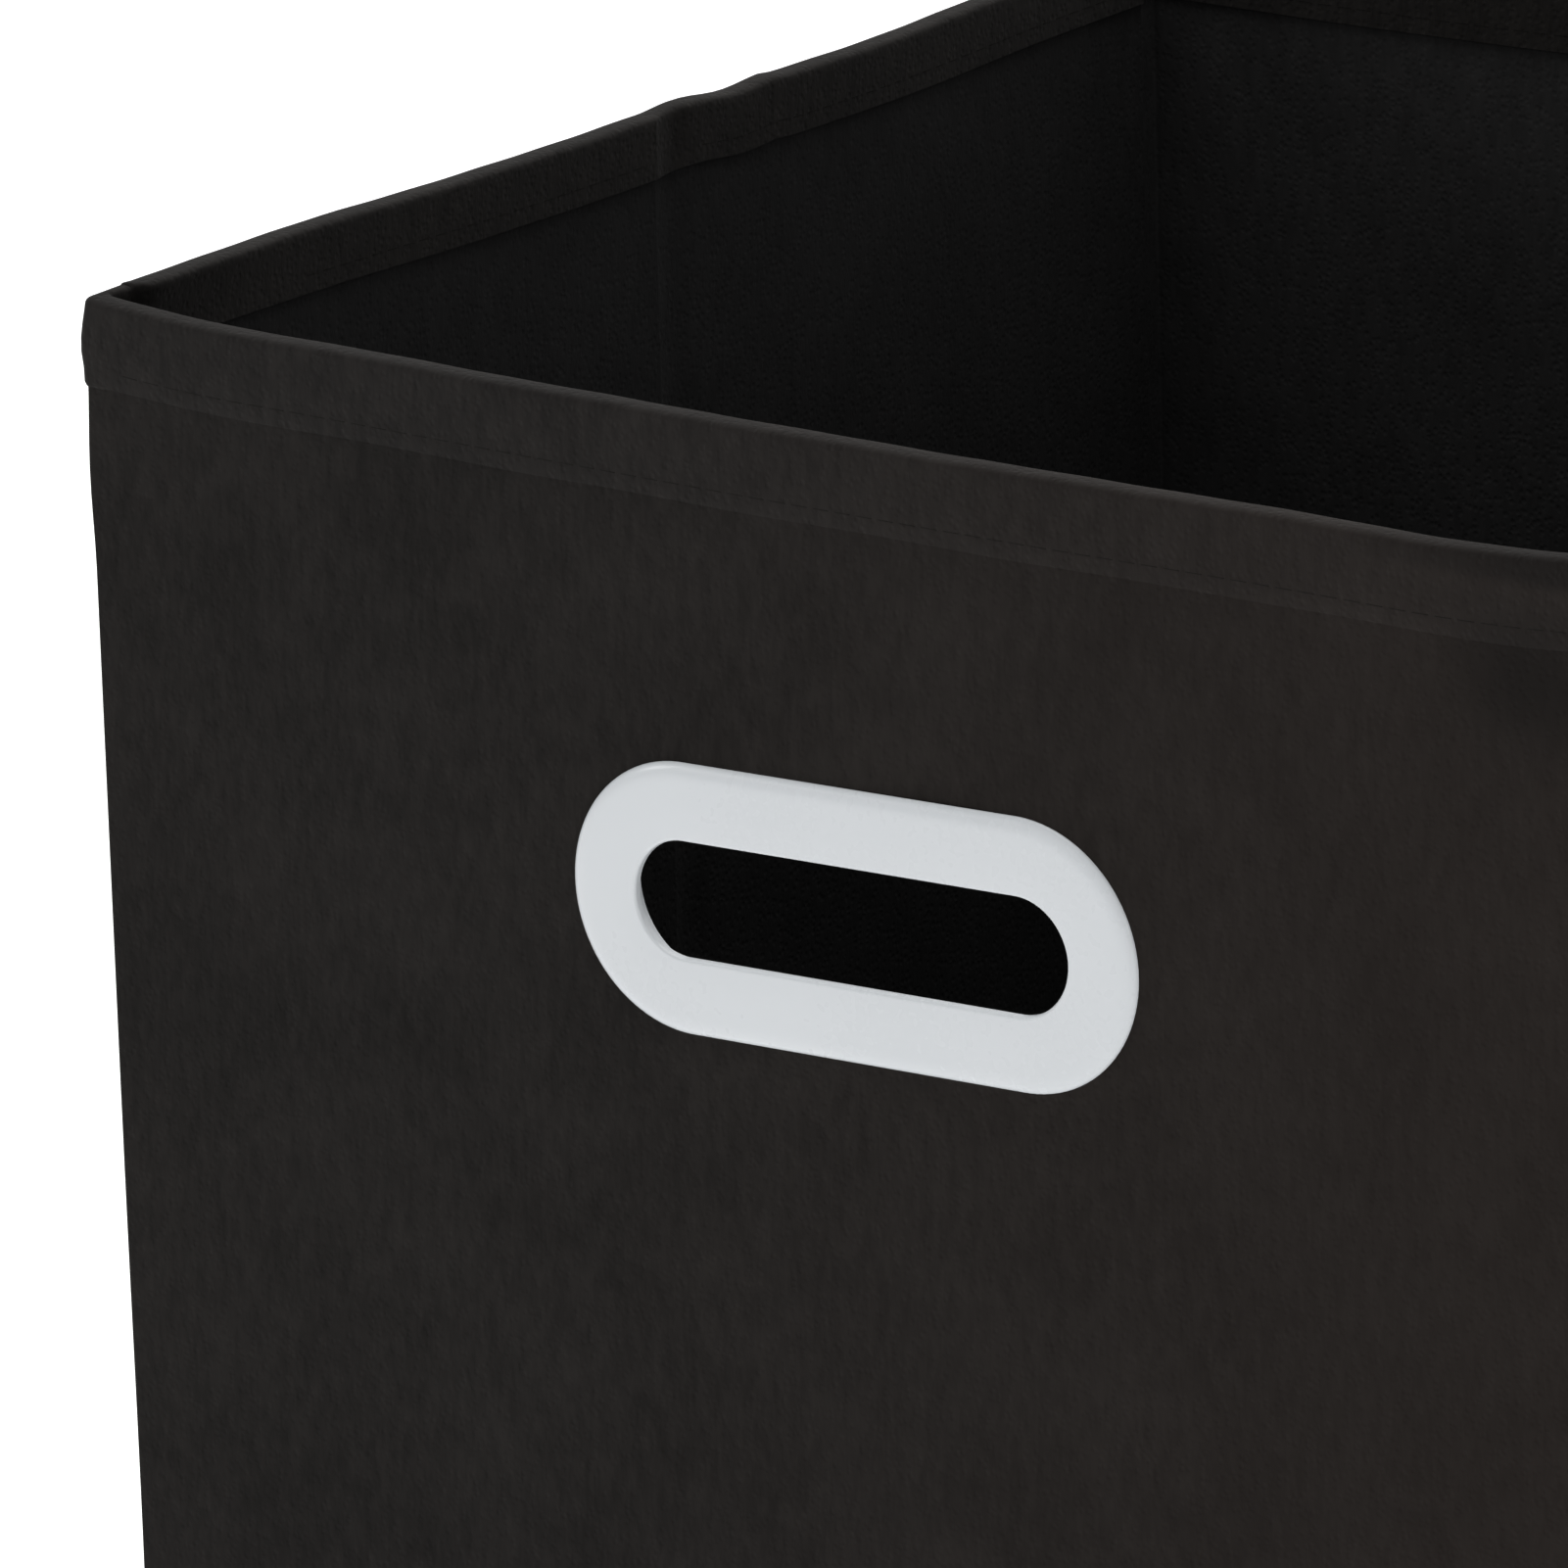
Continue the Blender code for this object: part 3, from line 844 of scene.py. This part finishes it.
def over_the_rim():
    """The hem's profile: up the outer leg, over, and down the inner leg."""
    profile = [(0.06, RIM - OUTER_HEM - 0.0003)]
    profile += [(0, z) for z in levels(RIM - OUTER_HEM + 0.0003, RIM - SHOULDER - 0.0008, HEM_STEP)]
    for i in range(SHOULDER_STEPS + 1):
        angle = math.pi * i / SHOULDER_STEPS
        side = math.copysign(abs(math.cos(angle)) ** ROUNDNESS, math.cos(angle))
        profile.append((0.5 - 0.5 * side, RIM - SHOULDER + SHOULDER * math.sin(angle) ** ROUNDNESS))
    return profile + [(1, z) for z in levels(RIM - SHOULDER - 0.0008, RIM - INNER_HEM, HEM_STEP)]


def outward_side(x, y):
    """Whether a point is on the outer face of the front or back wall."""
    return (np.abs(y) > HALF - 0.001) & (np.abs(x) < HALF - 0.004)


def hem(wall):
    piece = lay(wall + "_hem", wall, over_the_rim(), HEM_PROUD, HEM_PROUD_INSIDE)
    rows = points_of(piece)
    x, y, z = rows.T
    along = along_wall(x, y)
    rows[:, 2] += RIM_WAVER * np.sin(along * 240 + 0.7) * np.sin(along * 97) * ease(z, RIM - 0.010, RIM)
    rows[:, 2] += EDGE_WAVER * np.sin(along * 131 + 0.9) * (1 - ease(z, RIM - OUTER_HEM, RIM - 0.009))
    pressed = PRESSED_FLAT * (1 - ease(z, RIM - OUTER_HEM, RIM - OUTER_HEM + 0.006))
    rows[:, 1] += np.where(outward_side(x, y), -np.sign(y) * pressed, 0)
    move_points(piece, rows)
    solid(piece, CLOTH, -1)
    settle(piece)
    smooth(piece, 50)
    dress(piece, wall + "_hem_tape", HEM)
    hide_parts(wall + "_hem")
    return piece


HEMS = {wall: hem(wall) for wall in RUNS}
for wall, piece in HEMS.items():
    print(wall, "hem", len(piece.data.polygons), "faces")

# %% [markdown]
# ## Boards of the side walls
# The boards of the front and back walls stay as the frame has them. A half board of a side wall takes the
# bow of its wall, so it is made again here: a cube at the CAD board's size, cut across many times so that
# it can bend, with its edges eased.

# %% Half boards
BOARD_EDGE = 0.0004                     # how far its edges are eased
BOARD_CUTS = 16


def half_board(name):
    low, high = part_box(name)
    bpy.ops.object.select_all(action="DESELECT")
    bpy.ops.mesh.primitive_cube_add(size=1, location=(low + high) / 2)
    piece = bpy.context.object
    piece.dimensions = high - low
    apply_place(piece)
    bpy.ops.object.mode_set(mode="EDIT")
    bpy.ops.mesh.select_all(action="SELECT")
    bpy.ops.mesh.bevel(offset=BOARD_EDGE, segments=2, affect="EDGES")
    for i in range(1, BOARD_CUTS):
        for axis, normal in ((1, (0, 1, 0)), (2, (0, 0, 1))):
            place = low.lerp(high, i / BOARD_CUTS)
            bpy.ops.mesh.select_all(action="SELECT")
            bpy.ops.mesh.bisect(plane_co=place, plane_no=normal)
    bpy.ops.object.mode_set(mode="OBJECT")
    settle(piece)
    smooth(piece, 30)
    dress(piece, name + "_chipboard", BOARD)
    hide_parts(name)
    return piece


BOARDS = {wall: half_board(wall + "_board") for wall in RUNS if "_" in wall}
for wall, piece in BOARDS.items():
    print(wall, "board", len(piece.data.polygons), "faces")

# %% [markdown]
# ## Eyelets
# An eyelet is two rings that clip together through the board. Both are slots with round ends. A slot ring
# is easiest as a round ring first: a circle is extruded and scaled step by step along the ring's section,
# like turning it on a lathe, and then its two halves are pulled apart. The offset stays true all the way
# round, which scaling a ring into an oval would not do.

# %% Rings turned round and pulled apart
RING_POINTS = 96
flange_low, flange_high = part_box("back_handle_flange")
back_ring_low, back_ring_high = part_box("back_handle_back_ring")
RING_WIDTH = 0.0129                     # finger edge to outer edge
FLANGE_RADIUS = (flange_high.z - flange_low.z) / 2
SLOT_RADIUS = FLANGE_RADIUS - RING_WIDTH
PULL = (flange_high.x - flange_low.x) / 2 - FLANGE_RADIUS
FACE = flange_high.y - HALF             # the flange's face over the wall's outer face
INNER_FACE = HALF - back_ring_low.y     # the back ring's face, the other way
BACK_RING_TOP = HALF - back_ring_high.y
COLLAR = 0.0015
COLLAR_INSET = 0.0042                   # finger edge back to the collar, so the collar stays out of sight
GAP = 0.0003
SHOULDER_WIDTH = 0.0034                 # the face falls to its outer edge in a wide soft shoulder
SHOULDER_DROP = 0.0012
SLOT_ROUND = 0.0006
print("eyelet", round(2 * (PULL + FLANGE_RADIUS), 4), "x", round(2 * FLANGE_RADIUS, 4))


def rounded(middle, radius, start, end, steps=6):
    """Section points of a rounding, as (distance from the axis, height)."""
    angles = [math.radians(start + (end - start) * i / steps) for i in range(steps + 1)]
    return [(middle[0] + radius * math.cos(a), middle[1] + radius * math.sin(a)) for a in angles]


def shoulder(reach, top, width, drop, steps=9):
    """Section points of a wide, shallow rounding that ends at the reach."""
    angles = [math.radians(90 - 90 * i / steps) for i in range(steps + 1)]
    return [(reach - width + width * math.cos(a), top - drop + drop * math.sin(a)) for a in angles]


def slot_ring(section):
    """Turns a closed section round the axis and pulls the round ring apart into a slot ring."""
    bpy.ops.object.select_all(action="DESELECT")
    radius, height = section[0]
    bpy.ops.mesh.primitive_circle_add(vertices=RING_POINTS, radius=radius, location=(0, 0, height),
                                      rotation=(0, 0, math.pi / RING_POINTS))
    ring = bpy.context.object
    apply_place(ring)
    bpy.ops.object.mode_set(mode="EDIT")
    bpy.ops.mesh.select_mode(type="EDGE")
    bpy.ops.mesh.select_all(action="SELECT")
    for (last_radius, last_height), (radius, height) in zip(section, section[1:] + section[:1]):
        bpy.ops.mesh.extrude_region_move(TRANSFORM_OT_translate={"value": (0, 0, height - last_height)})
        scale = radius / last_radius
        bpy.ops.transform.resize(value=(scale, scale, 1), center_override=(0, 0, 0))
    bpy.ops.object.mode_set(mode="OBJECT")
    rows = points_of(ring)
    rows[:, 0] += np.sign(rows[:, 0]) * PULL
    move_points(ring, rows)
    close_up(ring)
    return ring


def onto_wall(ring, side, tilt):
    """Turns a ring from the floor plane onto the front (side 1) or back (side -1) wall."""
    height = (flange_low.z + flange_high.z) / 2
    turn_up = Matrix.Rotation(math.radians(90), 4, "X")
    lean = Matrix.Rotation(math.radians(tilt), 4, "Y")
    about = Matrix.Rotation(0 if side > 0 else math.pi, 4, "Z")
    ring.matrix_world = about @ Matrix.Translation((0, -HALF, height)) @ lean @ turn_up
    apply_place(ring)
    return ring


# %% [markdown]
# The flange's face is not quite flat: it falls away by a tenth of a millimetre towards its rim, as moulded
# parts do, and ends in a wide soft shoulder. Its finger edge reaches past the collar, so fingers touch one
# smooth edge.

# %% Flanges and back rings
FRONT_TILT = -1.5                       # degrees: this eyelet sits with its right end a little high
FALL = 0.00012
COLLAR_NEAR = SLOT_RADIUS + COLLAR_INSET
COLLAR_FAR = COLLAR_NEAR + COLLAR
CLIP_NEAR = COLLAR_FAR + GAP            # the back ring clips round the collar
flange_section = [
    (SLOT_RADIUS, GAP),
    *rounded((SLOT_RADIUS + SLOT_ROUND, FACE - SLOT_ROUND), SLOT_ROUND, 180, 90),
    (SLOT_RADIUS + RING_WIDTH * 0.45, FACE),
    *shoulder(FLANGE_RADIUS, FACE - FALL, SHOULDER_WIDTH, SHOULDER_DROP),
    (FLANGE_RADIUS - 0.0002, GAP),
    (COLLAR_FAR, GAP),
    (COLLAR_FAR, -INNER_FACE),
    (COLLAR_NEAR, -INNER_FACE),
    (COLLAR_NEAR, GAP),
]
back_section = [
    (CLIP_NEAR, -BACK_RING_TOP),
    *rounded((FLANGE_RADIUS - 0.0005, -BACK_RING_TOP - 0.0005), 0.0005, 90, 0, 3),
    *rounded((FLANGE_RADIUS - 0.0007, -INNER_FACE + 0.0007), 0.0007, 0, -90, 4),
    *rounded((CLIP_NEAR + 0.0004, -INNER_FACE + 0.0004), 0.0004, -90, -180, 3),
]
EYELETS = {}
for wall, side, tilt in (("front", 1, FRONT_TILT), ("back", -1, 0.0)):
    for part, section in (("handle_flange", flange_section), ("handle_back_ring", back_section)):
        ring = onto_wall(slot_ring(section), side, tilt)
        smooth(ring, 35)
        node = f"{wall}_{part}"
        dress(ring, node + "_moulding", PLASTIC)
        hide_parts(node)
        EYELETS[node] = ring
        print(node, len(ring.data.polygons), "faces")

# %% [markdown]
# The cloth is punched where the collar goes through it. The punch is the same slot: a round rod pulled
# apart.

# %% Punch the cloth
def punch(wall, side, tilt):
    bpy.ops.object.select_all(action="DESELECT")
    bpy.ops.mesh.primitive_cylinder_add(vertices=RING_POINTS, radius=COLLAR_FAR + 0.0005, depth=0.03,
                                        rotation=(0, 0, math.pi / RING_POINTS))
    rod = bpy.context.object
    apply_place(rod)
    rows = points_of(rod)
    rows[:, 0] += np.sign(rows[:, 0]) * PULL
    move_points(rod, rows)
    onto_wall(rod, side, tilt)
    for piece in (COVERS[wall], LININGS[wall]):
        hole = piece.modifiers.new("hole", "BOOLEAN")
        hole.object = rod
        hole.solver = "EXACT"
        apply_all(piece)
        smooth(piece)
    bpy.data.objects.remove(rod, do_unlink=True)


punch("front", 1, FRONT_TILT)
punch("back", -1, 0.0)

# %% [markdown]
# ## Stitches
# A hem is sewn through with one row of stitches near its lower edge. One stitch is a short rod with pinched
# ends that lies half sunk in the tape. An Array repeats it along a wall, and the row is then settled like
# the cloth.

# %% One row of stitches
STITCH_PITCH = 0.0042
STITCH_LENGTH = 0.0030
THREAD_RADIUS = 0.00024
STITCH_RISE = 0.0030                    # over the tape's lower edge


def stitch_row(name, start, end, turn):
    """A row from start to end along a level line."""
    start, end = Vector(start), Vector(end)
    count = int((end - start).length / STITCH_PITCH)
    bpy.ops.object.select_all(action="DESELECT")
    bpy.ops.mesh.primitive_cylinder_add(vertices=6, radius=THREAD_RADIUS, depth=STITCH_LENGTH,
                                        rotation=(0, math.pi / 2, 0))
    row = bpy.context.object
    apply_place(row)
    pick(row, "FACE", lambda corners: len({c.x > 0 for c in corners}) == 1)
    bpy.ops.mesh.inset(thickness=THREAD_RADIUS * 0.5, depth=THREAD_RADIUS * 0.8)
    bpy.ops.object.mode_set(mode="OBJECT")
    array = row.modifiers.new("row", "ARRAY")
    array.use_relative_offset = False
    array.use_constant_offset = True
    array.constant_offset_displace = (STITCH_PITCH, 0, 0)
    array.count = count
    apply_all(row)
    first = start + (end - start).normalized() * STITCH_PITCH * 0.6
    row.matrix_world = Matrix.Translation(first) @ Matrix.Rotation(turn, 4, "Z")
    apply_place(row)
    row.name = name
    return row


def hem_stitches(wall, ends, turn, outer_at, inner_at):
    """Both sides' rows of a wall's hem as one piece. ends are the two ends along the wall."""
    rows = []
    for label, at, height in (("out", outer_at, RIM - OUTER_HEM), ("in", inner_at, RIM - INNER_HEM)):
        start, end = at(ends[0]), at(ends[1])
        level = height + STITCH_RISE
        rows.append(stitch_row(f"{wall}_{label}", (*start, level), (*end, level), turn))
    bpy.ops.object.select_all(action="DESELECT")
    for row in rows:
        row.select_set(True)
    bpy.context.view_layer.objects.active = rows[0]
    bpy.ops.object.join()
    piece = bpy.context.object
    settle(piece)
    smooth(piece, 60)
    dress(piece, wall + "_hem_stitches", THREAD)
    return piece


SUNK = 0.00020                          # how far a stitch's middle lies inside the tape
OUT = HALF + HEM_PROUD - SUNK
OUT_PRESSED = OUT - PRESSED_FLAT / 2    # the broad walls' tape is thinner where it is sewn
IN = HALF - WALL - HEM_PROUD_INSIDE + SUNK
CROSS = (-HALF + 0.007, HALF - 0.007)
NEAR_HALF = (-BOARD_FAR + 0.003, -BOARD_NEAR - 0.003)
FAR_HALF = (BOARD_NEAR + 0.003, BOARD_FAR - 0.003)
QUARTER = math.pi / 2
STITCHES = {
    "front": hem_stitches("front", CROSS, 0, lambda u: (u, -OUT_PRESSED), lambda u: (u, -IN)),
    "back": hem_stitches("back", CROSS, 0, lambda u: (u, OUT_PRESSED), lambda u: (u, IN)),
    "left_front": hem_stitches("left_front", NEAR_HALF, QUARTER, lambda u: (-OUT, u), lambda u: (-IN, u)),
    "left_rear": hem_stitches("left_rear", FAR_HALF, QUARTER, lambda u: (-OUT, u), lambda u: (-IN, u)),
    "right_front": hem_stitches("right_front", NEAR_HALF, QUARTER, lambda u: (OUT, u), lambda u: (IN, u)),
    "right_rear": hem_stitches("right_rear", FAR_HALF, QUARTER, lambda u: (OUT, u), lambda u: (IN, u)),
}
for wall, piece in STITCHES.items():
    print(wall, "stitches", len(piece.data.polygons), "faces")

# %% [markdown]
# ## The floor
# The cube's floor is one cloth with three edges turned up. The side and back walls hang from those edges,
# which is what lets them swing. The turned edge is an extrusion of the grid's border, and its lower corner
# is bevelled round.

# %% Floor cloth
floor_low, floor_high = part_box("floor_fabric_panel")
foot_web_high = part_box("back_foot_web")[1]
bpy.ops.object.select_all(action="DESELECT")
bpy.ops.mesh.primitive_grid_add(x_subdivisions=36, y_subdivisions=36, size=1, location=(0, 0, floor_low.z))
tray = bpy.context.object
tray.scale = (2 * HALF, 2 * HALF, 1)
apply_place(tray)


def on_border(ends):
    """Whether an edge lies on the left, right or back border of the floor."""
    on_side = abs(ends[0].x + ends[1].x) > 2 * HALF - 1e-5
    on_back = ends[0].y + ends[1].y > 2 * HALF - 1e-5
    return (on_side or on_back) and all(end.z < floor_low.z + 1e-5 for end in ends)


pick(tray, "EDGE", on_border)
bpy.ops.mesh.extrude_region_move(TRANSFORM_OT_translate={"value": (0, 0, foot_web_high.z - floor_low.z)})
pick(tray, "EDGE", on_border)
bpy.ops.mesh.bevel(offset=0.0011, segments=4, affect="EDGES")
bpy.ops.mesh.select_all(action="SELECT")
bpy.ops.mesh.normals_make_consistent(inside=False)
bpy.ops.object.mode_set(mode="OBJECT")
middle_face = min(tray.data.polygons, key=lambda face: face.center.length)
if middle_face.normal.z > 0:
    tray.data.flip_normals()
solid(tray, floor_high.z - floor_low.z, -1)
smooth(tray)
dress(tray, "floor_cloth_tray", FLOOR)
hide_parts("floor_fabric_panel", "left_foot_web", "right_foot_web", "back_foot_web")
print("floor cloth", len(tray.data.polygons), "faces")

# %% [markdown]
# ## The loose base
# The base is a board in a cloth sleeve that is sewn along its border, with a tab to lift it by. The sleeve
# is a cube at the CAD sleeve's size whose border is pinched thin, as two plies are where they are sewn.

# %% Base sleeve
sleeve_low, sleeve_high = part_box("base_sleeve")
SEWN_STRIP = 0.0012                     # the border that is pinched thin
SEWN_SHARE = 0.30                       # of the sleeve's thickness, at the very edge
CUT = 0.0008                            # an extra cut this far in gives the pinch its shape
SLACK = 0.00022
bpy.ops.object.select_all(action="DESELECT")
bpy.ops.mesh.primitive_grid_add(x_subdivisions=72, y_subdivisions=72, size=1)
sleeve = bpy.context.object
sleeve.scale = (sleeve_high.x - sleeve_low.x, sleeve_high.y - sleeve_low.y, 1)
apply_place(sleeve)
half_x, half_y = sleeve_high.x, sleeve_high.y
solid(sleeve, sleeve_high.z - sleeve_low.z, 0)
bpy.ops.object.mode_set(mode="EDIT")
for place, normal in (((half_x - CUT, 0, 0), (1, 0, 0)), ((CUT - half_x, 0, 0), (1, 0, 0)),
                      ((0, half_y - CUT, 0), (0, 1, 0)), ((0, CUT - half_y, 0), (0, 1, 0))):
    bpy.ops.mesh.select_all(action="SELECT")
    bpy.ops.mesh.bisect(plane_co=place, plane_no=normal)
bpy.ops.object.mode_set(mode="OBJECT")
rows = points_of(sleeve)
x, y, z = rows.T.copy()
to_edge = np.minimum(half_x - np.abs(x), half_y - np.abs(y))
pinch = SEWN_SHARE + (1 - SEWN_SHARE) * np.sqrt(np.clip(to_edge / SEWN_STRIP, 0, 1))
ripples = np.sin(x * 57 + y * 21 + 0.8) * np.sin(y * 49 - x * 26) + 0.4 * np.sin(x * 141 + y * 96)
slack = SLACK * ripples * ease(to_edge, 0.006, 0.030)
rows[:, 2] = z * pinch + np.where(z > 0, slack, 0) + (sleeve_low.z + sleeve_high.z) / 2
move_points(sleeve, rows)
smooth(sleeve, 60)
dress(sleeve, "base_sleeve_cloth", LINING)
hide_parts("base_sleeve")
print("base sleeve", len(sleeve.data.polygons), "faces")

# %% Pull tab
tab_low, tab_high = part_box("base_pull_tab")
tab_width = tab_high.x - tab_low.x
tab_length = tab_high.y - tab_low.y
tab_thickness = tab_high.z - tab_low.z
bpy.ops.object.select_all(action="DESELECT")
bpy.ops.mesh.primitive_cylinder_add(vertices=48, radius=tab_width / 2, depth=tab_thickness,
                                    rotation=(0, 0, math.pi / 48))
tab = bpy.context.object
apply_place(tab)
rows = points_of(tab)
rows[:, 1] += np.sign(rows[:, 1]) * (tab_length - tab_width) / 2
rows += np.array((tab_low + tab_high) / 2)
move_points(tab, rows)
tab_middle = (tab_low.z + tab_high.z) / 2
pick(tab, "FACE", lambda corners: len({c.z > tab_middle for c in corners}) == 1)
for border, depth in ((0.0003, 0), (0.0016, 0), (0.0006, -0.00012)):    # edge, tape, and the step down
    bpy.ops.mesh.inset(thickness=border, depth=depth)
bpy.ops.object.mode_set(mode="OBJECT")
close_up(tab)
smooth(tab, 50)
dress(tab, "base_pull_tab_cloth", HEM)
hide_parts("base_pull_tab")
print("pull tab", len(tab.data.polygons), "faces")

# %% [markdown]
# ## Nodes that stay
# The front and back boards and the base's board are right as the frame has them. They get the chipboard
# material.

# %% Carried-over boards
for name in ("front_board", "back_board", "base_core"):
    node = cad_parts[name]
    node.data.materials.clear()
    node.data.materials.append(BOARD)
    print("kept", name)

# %% [markdown]
# ## What moves with what
# The front wall is the body that stays. Stiff pieces ride on their wall. The front wall's cover, lining and
# hem ride on the front wall; the other walls' cloth has its place baked into its mesh and is not attached to
# a body. The floor cloth rides on the front wall, and the base's sleeve and tab on the base board.

# %% Ride and stay in place
BODY = {"front": "front_wall", "back": "back_wall", "left_front": "left_front_wing",
        "left_rear": "left_rear_wing", "right_front": "right_front_wing", "right_rear": "right_rear_wing"}
for wall, body in BODY.items():
    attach(STITCHES[wall], body)
    if wall in BOARDS:
        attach(BOARDS[wall], body)
for node, ring in EYELETS.items():
    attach(ring, BODY[node.split("_")[0]])

for cloths in (COVERS, LININGS, HEMS):
    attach(cloths["front"], "front_wall")
    for side, x in (("left", -HALF), ("right", HALF)):
        front_half, rear_half = f"{side}_front", f"{side}_rear"
        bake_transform(cloths[front_half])
        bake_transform(cloths[rear_half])
    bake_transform(cloths["back"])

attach(tray, "front_wall")
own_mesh(tray)
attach(sleeve, "base_board")
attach(tab, "base_board")
